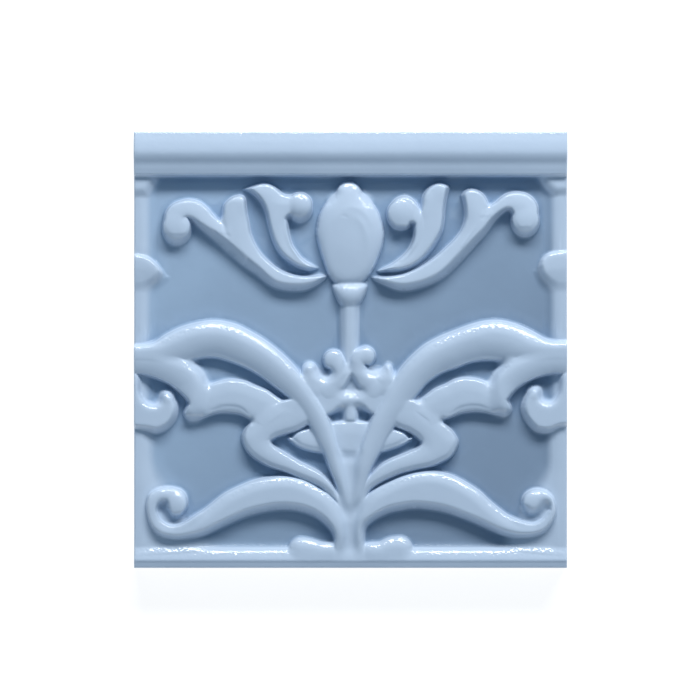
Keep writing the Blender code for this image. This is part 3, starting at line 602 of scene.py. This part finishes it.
HOOK_TOP = 12.5 - 0.7 * ease((-5 - Y) / 8)
press_finger([(-14.2, -7.0, 2.4), (-13.9, -9.6, 3.3), (-13.6, -13, 3.8)], HOOK_TOP, skirt=1.8)
press_finger([(-5.9, -3.5, 3.3), (-4.7, -5, 2.8), (-4.1, -7.4, 2.3), (-5.2, -10.6, 2.4),
              (-7.6, -13.8, 2.8)], HOOK_TOP, drop=0.9, skirt=1.6)
press_finger([(5.2, -2.1, 3.1), (3.2, -2.8, 2.8), (2.4, -4.8, 2.4), (3.3, -7.4, 2.4),
              (5.6, -10.4, 2.4), (8.2, -13.6, 2.8)], HOOK_TOP, drop=0.9, skirt=1.6)
press_finger([(13.0, -6.0, 0.8), (12.8, -7.4, 1.8), (12.4, -9.4, 2.7), (12.0, -12.6, 3.2)],
             HOOK_TOP, skirt=1.8)
sink([(0.3, -7.2), (1.8, -9.4), (3.4, -11.8), (6, -15.2), (4, -16.4), (1, -16.2), (-1.6, -16.2),
      (-4.6, -15.4), (-2.4, -11.6), (-1.1, -9.4)], 9.9, 1.8)
rub([(-3, -20), (0, -18), (3, -20)], 2.6, 0.8)
rub([(-9, -13), (-5, -14.5), (-2.5, -16.6), (0, -17), (2.5, -16.6), (5, -14.5), (9, -13)], 2.2, 1.0)
rub([(-1.5, -6.2), (0.3, -5.8), (2, -6.2)], 1.6, 0.8)
rub([(-14.4, -6.4), (-14, -10)], 2.6, 0.7)
rub([(13, -6), (12.6, -9)], 2.2, 0.7)
rub([(-3, -15.4), (0, -15.2), (3, -15.4)], 1.6, 0.9)
rub([(-11.5, -8), (-9, -9.6), (-6.5, -9)], 2.2, 1.0)
rub([(5, -7.6), (8.4, -7.6), (11, -8)], 2.2, 1.0)
TRUNK_LEFT = [(-9, -30), (-7, -36), (-5.4, -42), (-4, -48), (-3, -56), (-3, -61)]
TRUNK_RIGHT = [(9, -30), (7, -36), (5.6, -42), (4.2, -48), (3, -56), (3, -61)]
TRUNK_TOP = 11.0 - 0.8 * ease((-53 - Y) / 7) - 2.6 * ease((Y + 39) / 5)
press(TRUNK_LEFT, TRUNK_RIGHT, top=TRUNK_TOP, fall=(0.1, 0.1), wall=(1.6, 1.6), roll=(1, 1),
      fillet=(0.4, 0.4), lip=0, tip=0)
FOOT_TOP = 10.6 - 0.3 * ease((-60 - Y) / 8) - 2.8 * ease((Y + 59) / 5)
press([(-4, -54), (-4, -71)], [(4, -54), (4, -71)], top=FOOT_TOP, fall=(0, 0), wall=(1, 1),
      fillet=(1.2, 1.2), lip=0, tip=0)


# Bottom leaves
# Two long leaves sweep out from the foot of the trunk and curl up at their ends. Their lower
# sides show the full drafted wall. Small bumps fill the corners between them and the ledge.
BUMP = {"top": 11.5, "drop": 1.5, "hang": 0.5, "skirt": 1.3}
press_finger([(-17, -69.6, 4.4), (-14, -69.9, 4.2), (-10.5, -70.2, 3.6), (-7, -70.2, 3.4)], **BUMP)
press_finger([(7, -70.2, 3.4), (10.5, -70.2, 3.6), (14, -69.6, 4.4), (16.8, -69.4, 4.6)], **BUMP)
SWEEP = {"top": 12.7 - 1.5 * ease((-63 - Y) / 8), "fall": (0.62, 0.12), "reach": (4.2, 4.0),
         "roll": (0.8, 0.5), "out": (0.5, 0.0), "fillet": (1.2, 0.3), "tip": 0.4}
CURLED_END = {"top": 12.9, "drop": 0.9, "hang": 0.6, "skirt": 0.9}
press([(-1.2, -72.4), (-1.4, -67), (-1.5, -62), (-1.9, -58.4), (-3.6, -54.6), (-7.1, -50.2),
       (-10.6, -47.8), (-14, -45.8), (-17.5, -44.4), (-22.7, -43.6), (-27.9, -44), (-33.1, -45.1),
       (-38.3, -47.1), (-43.5, -49.7), (-46.9, -52.2), (-50.4, -55), (-53.9, -57.2), (-56.5, -58.9),
       (-59, -60.1), (-61.5, -60.6), (-64, -59.9), (-65.8, -58.2), (-66.4, -56),
       (-65.8, -54.2), (-64.5, -53.2)],
      [(-6.4, -72.4, 1.2), (-6.2, -69, 1.2), (-6.1, -65.8, 1.4), (-7.1, -63.4, 2.0), (-9.5, -60.6, 2.4),
       (-12.3, -58.5, 2.6), (-15.1, -57.2, 2.8), (-19.2, -56.1, 2.8), (-24.4, -55.8, 2.8),
       (-29.6, -56.5, 2.8), (-34.8, -57.8, 2.8), (-40, -59.8, 2.6), (-45.2, -62.3, 2.6),
       (-50.4, -64.8, 2.6), (-55.6, -66.2, 2.6), (-60.8, -66.6, 2.4), (-66, -65.3, 2.0),
       (-68.8, -63.2, 1.8), (-70.3, -60.4, 1.6), (-71.1, -57, 1.6), (-71.1, -53.5, 1.6),
       (-70, -50.2, 1.6), (-67.7, -48.4, 1.4), (-64.3, -47.6, 1.2), (-60.8, -47.8, 1.2),
       (-58, -49.1, 1.2), (-56.6, -51.4, 1.0), (-56.5, -54, 0.9), (-57.4, -56.4, 0.9),
       (-59.2, -57.9, 0.9), (-61.2, -58.1, 0.9), (-62.8, -57, 0.9), (-63.5, -55.2, 0.9),
       (-64.5, -53.2, 0.9)],
      **SWEEP)
press_ball(-60.2, -53.3, 3.4, **CURLED_END)
rub([(-64.8, -53.8), (-64.4, -57), (-61.8, -58.8), (-59.6, -58.4)], 2.0, 0.9)
press([(1.0, -72.4), (1.2, -67), (1.3, -62), (1.7, -58), (2.6, -55.6), (4.3, -52), (6.8, -49.2),
       (10.2, -47.1), (13.7, -45.4), (17.1, -43.9), (22.3, -42.4), (27.5, -41.9), (32.7, -42.7),
       (36.2, -44), (39.7, -45.8), (44.9, -49.2), (48.3, -52.4), (51.8, -55.3), (55.2, -57.7),
       (58.7, -59), (61, -59.6), (63.2, -59.8), (65.4, -58.9), (67.2, -57.2), (68.2, -55.2), (67.4, -53.8)],
      [(5.2, -72.4, 1.2), (5, -69, 1.2), (5, -65.1, 1.6), (5.4, -62.8, 2.0), (6.8, -60.8, 2.4),
       (10.2, -58.5, 2.6), (13.7, -56.9, 2.8), (17.1, -56.1, 2.8), (22.3, -55.4, 2.8),
       (27.5, -55.8, 2.8), (32.7, -56.8, 2.8), (37.9, -58.5, 2.6), (43.1, -60.6, 2.6), (48.3, -63, 2.6),
       (51.8, -64.5, 2.6), (57, -65.9, 2.6), (62.2, -65.9, 2.4), (67.4, -64.1, 2.0),
       (70.1, -61.3, 1.8), (71.5, -57.2, 1.6), (71.2, -53.7, 1.4), (69.8, -50.6, 1.2),
       (67.4, -48.8, 1.2), (64.2, -48.2, 1.2), (61.4, -49.1, 1.2), (59.7, -51, 1.0),
       (59.2, -53.4, 0.9), (60, -55.6, 0.9), (61.8, -57, 0.9), (63.8, -57.3, 0.9),
       (65.6, -56.4, 0.9), (66.6, -54.9, 0.9), (67.4, -53.8, 0.9)],
      **SWEEP)
press_ball(63.3, -52.7, 3.5, **CURLED_END)
rub([(67, -53.8), (65.4, -56.4), (62.4, -57.2), (60.4, -56.2)], 2.4, 1.2)
# The trunk and the leaves' feet are rubbed into one another.
middle = ease((6.5 - np.abs(X)) / 3) * ease((Y + 74) / 3) * ease((-33.5 - Y) / 3)
face += (blur(face, 1.0) - face) * middle


# Firing the face
# The glaze softens every edge a little, pools in the low places, where shade is also painted
# into its colour, and lies in fine grains along the slopes that look up the tile. The cut sides of the slab
# keep a small round arris.
ARRIS = 0.7
BACK_ARRIS = 0.5
# How far the mesh stays below the top of the solid.
TOP_CLEARANCE = 0.03
GRAINED_SLOPE = 0.55
GRAIN_HEIGHT = 0.035
MOST_TRIANGLES = 190000
to_side = np.maximum(np.abs(X) - (half_width - ARRIS), 0) / ARRIS
to_end = np.maximum(np.abs(Y) - (half_length - ARRIS / 2), 0) / (ARRIS / 2)
face = blur(face, 0.22)
for share, drop in ((to_side, 0.8 * ARRIS), (to_end, 0.4 * ARRIS)):
    face -= drop * (1 - np.sqrt(np.clip(1 - share ** 2, 0, 1)))
fall_away = -np.gradient(blur(face, 0.4), PITCH, axis=0)
crest = np.exp(-(((fall_away - GRAINED_SLOPE) / 0.22) ** 2))
grain = blur(np.random.default_rng(7).normal(size=face.shape), 0.24)
face += GRAIN_HEIGHT * crest * grain / grain.std()
face = np.minimum(face, (high.z - low.z) / MM - TOP_CLEARANCE)
# This mask marks creases and hollows: glaze lies thicker there, and shade is painted darker there too.
pool_and_shade = np.clip(0.5 + (blur(face, 2.0) - face) / 2.4, 0, 1)
lowness = ease((9.4 - blur(face, 0.35)) / 1.1)
slope_x = np.gradient(face, PITCH, axis=1)
slope_y = np.gradient(face, PITCH, axis=0)


def at_points(field, x, y):
    """Read a field of the face at any places, between its own points."""
    column = np.clip((x + half_width) / PITCH, 0, columns - 1.001)
    row = np.clip((y + half_length) / PITCH, 0, rows - 1.001)
    i, j = row.astype(int), column.astype(int)
    u, v = row - i, column - j
    near = field[i, j] * (1 - v) + field[i, j + 1] * v
    far = field[i + 1, j] * (1 - v) + field[i + 1, j + 1] * v
    return near * (1 - u) + far * u


def slab_mesh(thin):
    """The closed slab: the worked face, its four sides, a small chamfer and the flat back."""
    front = np.stack([X, Y, face], axis=2)[::thin, ::thin]
    tall, wide = front.shape[:2]
    front = front.reshape(-1, 3)
    corner = (np.arange(wide - 1)[None, :] + wide * np.arange(tall - 1)[:, None]).ravel()
    quads = [np.stack([corner, corner + 1, corner + 1 + wide, corner + wide], axis=1)]
    rim = np.concatenate([
        np.arange(wide),
        wide * np.arange(1, tall) + wide - 1,
        wide * (tall - 1) + np.arange(wide - 2, -1, -1),
        wide * np.arange(tall - 2, 0, -1),
    ])
    side = front[rim].copy()
    side[:, 2] = BACK_ARRIS
    back = side.copy()
    back[:, 2] = 0.0
    back[:, 0] = np.clip(back[:, 0], BACK_ARRIS - half_width, half_width - BACK_ARRIS)
    back[:, 1] = np.clip(back[:, 1], BACK_ARRIS - half_length, half_length - BACK_ARRIS)
    points = np.concatenate([front, side, back])
    start = len(front)
    for upper in (rim, start + np.arange(len(rim))):
        lower = start + np.arange(len(rim))
        quads.append(np.stack([lower, np.roll(lower, -1), np.roll(upper, -1), upper], axis=1))
        start += len(rim)
    quads = np.concatenate(quads)
    last = np.arange(len(points) - 1, len(points) - 1 - len(rim), -1)
    loops = np.concatenate([quads.ravel(), last])
    mesh = bpy.data.meshes.new("glazed_tile")
    mesh.vertices.add(len(points))
    mesh.vertices.foreach_set("co", (points * MM).astype(np.float32).ravel())
    mesh.loops.add(len(loops))
    mesh.loops.foreach_set("vertex_index", loops.astype(np.int32))
    mesh.polygons.add(len(quads) + 1)
    mesh.polygons.foreach_set("loop_start", np.arange(0, 4 * len(quads) + 4, 4, dtype=np.int32))
    mesh.update(calc_edges=True)
    mesh.validate()
    return mesh


tile = bpy.data.objects.new("glazed_tile", slab_mesh(1))
bpy.context.scene.collection.objects.link(tile)
tile.location = ((low.x + high.x) / 2, (low.y + high.y) / 2, low.z)
tile.data.calc_loop_triangles()
thinning = tile.modifiers.new("thinning", "DECIMATE")
thinning.ratio = min(1.0, MOST_TRIANGLES / len(tile.data.loop_triangles))
seen = tile.evaluated_get(bpy.context.evaluated_depsgraph_get())
thinned = bpy.data.meshes.new_from_object(seen)
tile.modifiers.clear()
tile.data = thinned
thinned.name = "glazed_tile"


# Shading
# Smooth glaze needs smooth shading, so each corner on the face takes the true slope of the
# relief there, while the cut sides and the back stay flat.
mesh = tile.data
corners = np.empty(len(mesh.loops), np.int32)
mesh.loops.foreach_get("vertex_index", corners)
edges = np.empty(len(mesh.loops), np.int32)
mesh.loops.foreach_get("edge_index", edges)
sizes = np.empty(len(mesh.polygons), np.int32)
mesh.polygons.foreach_get("loop_total", sizes)
flat = np.empty(3 * len(mesh.polygons), np.float32)
mesh.polygons.foreach_get("normal", flat)
flat = flat.reshape(-1, 3)
places = np.empty(3 * len(mesh.vertices), np.float32)
mesh.vertices.foreach_get("co", places)
places = places.reshape(-1, 3) / MM
owner = np.repeat(np.arange(len(mesh.polygons)), sizes)
on_face = flat[:, 2] > 0.08
normals = flat[owner].astype(float)
worked = on_face[owner]
spots = places[corners[worked]]
normals[worked, 0] = -at_points(slope_x, spots[:, 0], spots[:, 1])
normals[worked, 1] = -at_points(slope_y, spots[:, 0], spots[:, 1])
normals[worked, 2] = 1.0
normals /= np.linalg.norm(normals, axis=1)[:, None]
order = np.argsort(edges, kind="stable")
pairs = owner[order][: 2 * (len(order) // 2)].reshape(-1, 2)
first_side, second_side = pairs[:, 0], pairs[:, 1]
turn = np.sum(flat[first_side] * flat[second_side], axis=1)
sharp = (on_face[first_side] != on_face[second_side]) | (~on_face[first_side] & (turn < 0.95))
mark = mesh.attributes.get("sharp_edge") or mesh.attributes.new("sharp_edge", "BOOLEAN", "EDGE")
mark.data.foreach_set("value", sharp)
mesh.polygons.foreach_set("use_smooth", np.ones(len(mesh.polygons), bool))
mesh.normals_split_custom_set(normals.tolist())
for name, field in (("pool_and_shade", pool_and_shade), ("lowness", lowness)):
    layer = mesh.attributes.new(name, "FLOAT", "POINT")
    layer.data.foreach_set("value", at_points(field, places[:, 0], places[:, 1]).astype(np.float32))
mesh.update()


# The glaze
# A glossy blue glaze over a white body. It is thin and pale on the raised forms, and gathers
# deeper and bluer on the ground. The back and the foot of the sides are bare fired clay.
def node(tree, kind, inputs=(), **settings):
    made = tree.nodes.new(kind)
    for name, value in settings.items():
        setattr(made, name, value)
    for key, value in dict(inputs).items():
        if isinstance(value, bpy.types.NodeSocket):
            tree.links.new(value, made.inputs[key])
        else:
            made.inputs[key].default_value = value
    return made


def mix_colour(tree, share, a, b):
    mixed = node(tree, "ShaderNodeMix", data_type="RGBA")
    for key, value in ((0, share), (6, a), (7, b)):
        if isinstance(value, bpy.types.NodeSocket):
            tree.links.new(value, mixed.inputs[key])
        elif key:
            mixed.inputs[key].default_value = (*value, 1)
        else:
            mixed.inputs[key].default_value = value
    return mixed.outputs[2]


def ramp(tree, value, low_end, high_end, low_value=0.0, high_value=1.0):
    return node(tree, "ShaderNodeMapRange",
                {"Value": value, "From Min": low_end, "From Max": high_end,
                 "To Min": low_value, "To Max": high_value}).outputs["Result"]


PALE_GLAZE = (0.498, 0.608, 0.752)
DEEP_GLAZE = (0.335, 0.46, 0.62)
DEEPER_GLAZE = (0.22, 0.305, 0.425)
POOLED_GLAZE_AND_SHADE = (0.10, 0.20, 0.36)
BISCUIT = (0.72, 0.70, 0.66)
DARK_BISCUIT = (0.60, 0.57, 0.53)
LOWEST_GLAZE = 1.5 * MM
HIGHEST_GLAZE = 4.0 * MM
SWELL_HEIGHT = 0.3 * MM
RIPPLE_HEIGHT = 0.1 * MM
# How many bumps of each kind there are to a metre.
CLOUD_SCALE = 45.0
DRIP_SCALE = 90.0
SWELL_SCALE = 260.0
GRIT_SCALE = 900.0
RIPPLE_SCALE = 1300.0
glaze = bpy.data.materials.new("blue_glaze")
glaze.use_nodes = True
tree = glaze.node_tree
tree.nodes.clear()
finish = tree.nodes.new("ShaderNodeOutputMaterial")
shader = tree.nodes.new("ShaderNodeBsdfPrincipled")
tree.links.new(shader.outputs["BSDF"], finish.inputs["Surface"])
where = tree.nodes.new("ShaderNodeTexCoord").outputs["Object"]
place = node(tree, "ShaderNodeSeparateXYZ", {"Vector": where})
height = place.outputs["Z"]
deep = node(tree, "ShaderNodeAttribute", attribute_name="lowness").outputs["Fac"]
pooled_and_shaded = node(tree, "ShaderNodeAttribute", attribute_name="pool_and_shade").outputs["Fac"]
cloud = node(tree, "ShaderNodeTexNoise",
             {"Vector": where, "Scale": CLOUD_SCALE, "Detail": 3.0}).outputs["Fac"]
lean = node(tree, "ShaderNodeMath", {0: place.outputs["Y"], 1: -0.5, 2: place.outputs["X"]},
            operation="MULTIPLY_ADD").outputs[0]
lean = node(tree, "ShaderNodeMath", {0: cloud, 1: 0.06, 2: lean}, operation="MULTIPLY_ADD").outputs[0]
ground = mix_colour(tree, ramp(tree, lean, -0.05, 0.10), DEEP_GLAZE, DEEPER_GLAZE)
colour = mix_colour(tree, deep, PALE_GLAZE, ground)
# Painted shade: the deepest creases are mixed toward a dark blue, partly thick glaze and partly shade
# painted into the colour.
colour = mix_colour(tree, ramp(tree, pooled_and_shaded, 0.7, 1.0, 0.0, 0.3), colour, POOLED_GLAZE_AND_SHADE)
colour = mix_colour(tree, ramp(tree, cloud, 0.35, 0.75, 0.0, 0.10), colour, DEEPER_GLAZE)
drip = node(tree, "ShaderNodeTexNoise",
            {"Vector": where, "Scale": DRIP_SCALE, "Detail": 2.0}).outputs["Fac"]
line = ramp(tree, drip, 0.3, 0.7, LOWEST_GLAZE, HIGHEST_GLAZE)
over = node(tree, "ShaderNodeMath", {0: height, 1: line}, operation="SUBTRACT").outputs[0]
glazed = ramp(tree, over, -0.0001, 0.0004)
grit = node(tree, "ShaderNodeTexNoise",
            {"Vector": where, "Scale": GRIT_SCALE, "Detail": 4.0}).outputs["Fac"]
clay = mix_colour(tree, ramp(tree, grit, 0.3, 0.7), BISCUIT, DARK_BISCUIT)
tree.links.new(mix_colour(tree, glazed, clay, colour), shader.inputs["Base Color"])
shader.inputs["Roughness"].default_value = 0.55
shader.inputs["IOR"].default_value = 1.5
shader.inputs["Specular IOR Level"].default_value = 0.25
gloss = ramp(tree, pooled_and_shaded, 0.5, 0.66, 1.0, 0.12)
tree.links.new(node(tree, "ShaderNodeMath", {0: glazed, 1: gloss}, operation="MULTIPLY").outputs[0],
               shader.inputs["Coat Weight"])
shader.inputs["Coat Roughness"].default_value = 0.05
swell = node(tree, "ShaderNodeTexNoise",
             {"Vector": where, "Scale": SWELL_SCALE, "Detail": 1.0}).outputs["Fac"]
bump = node(tree, "ShaderNodeBump", {"Height": swell, "Strength": 0.15, "Distance": SWELL_HEIGHT})
tree.links.new(bump.outputs["Normal"], shader.inputs["Normal"])
ripple = node(tree, "ShaderNodeTexNoise",
              {"Vector": where, "Scale": RIPPLE_SCALE, "Detail": 1.0}).outputs["Fac"]
ripples = node(tree, "ShaderNodeBump",
               {"Height": ripple, "Strength": ramp(tree, deep, 0.2, 0.8, 1.0, 0.15),
                "Distance": RIPPLE_HEIGHT, "Normal": bump.outputs["Normal"]})
tree.links.new(ripples.outputs["Normal"], shader.inputs["Coat Normal"])
mesh.materials.clear()
mesh.materials.append(glaze)
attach(tile, "root")
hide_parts("relief_tile")


# Floor, lights and camera
# The tile lies on a plain white floor under a wide soft lamp beyond its top edge and a little to
# the right, with weak fill from below it. The camera looks straight down through a long lens.
FRAME_WIDTH = 0.2425
CAMERA_HEIGHT = 2.0
bpy.ops.mesh.primitive_plane_add(size=8, location=(0, 0, -0.0002))
floor = bpy.context.object
floor.name = "floor"
paper = bpy.data.materials.new("white_paper")
paper.use_nodes = True
sheet = paper.node_tree.nodes["Principled BSDF"]
sheet.inputs["Base Color"].default_value = (0.35, 0.35, 0.35, 1)
sheet.inputs["Roughness"].default_value = 0.9
sheet.inputs["Emission Color"].default_value = (1, 1, 1, 1)
sheet.inputs["Emission Strength"].default_value = 0.85
floor.data.materials.append(paper)


def lamp(name, azimuth, elevation, distance, size, watts):
    """A soft lamp aimed at the tile. Azimuth 0 is beyond its top edge, and turns to its left."""
    light = bpy.data.lights.new(name, "AREA")
    light.shape = "RECTANGLE"
    light.size, light.size_y = size
    light.energy = watts
    holder = bpy.data.objects.new(name, light)
    turn, lift = math.radians(azimuth), math.radians(elevation)
    holder.location = (-distance * math.sin(turn) * math.cos(lift),
                       distance * math.cos(turn) * math.cos(lift), distance * math.sin(lift))
    holder.rotation_euler = (-holder.location).to_track_quat("-Z", "Y").to_euler()
    bpy.context.scene.collection.objects.link(holder)


lamp("key", -12, 32, 1.2, (1.1, 0.28), 18.6)
lamp("fill", 180, 9, 1.2, (1.6, 0.8), 6.0)
world = bpy.context.scene.world or bpy.data.worlds.new("studio")
bpy.context.scene.world = world
world.use_nodes = True
sky = world.node_tree.nodes["Background"]
sky.inputs["Color"].default_value = (0.55, 0.78, 1.0, 1)
sky.inputs["Strength"].default_value = 0.28
bpy.context.scene.view_settings.view_transform = "Standard"

lens = bpy.data.cameras.new("camera")
camera = bpy.data.objects.new("camera", lens)
lens.lens = lens.sensor_width * (CAMERA_HEIGHT - 0.01) / FRAME_WIDTH
camera.location = (-0.0002, 0, CAMERA_HEIGHT)
bpy.context.scene.collection.objects.link(camera)
bpy.context.scene.camera = camera
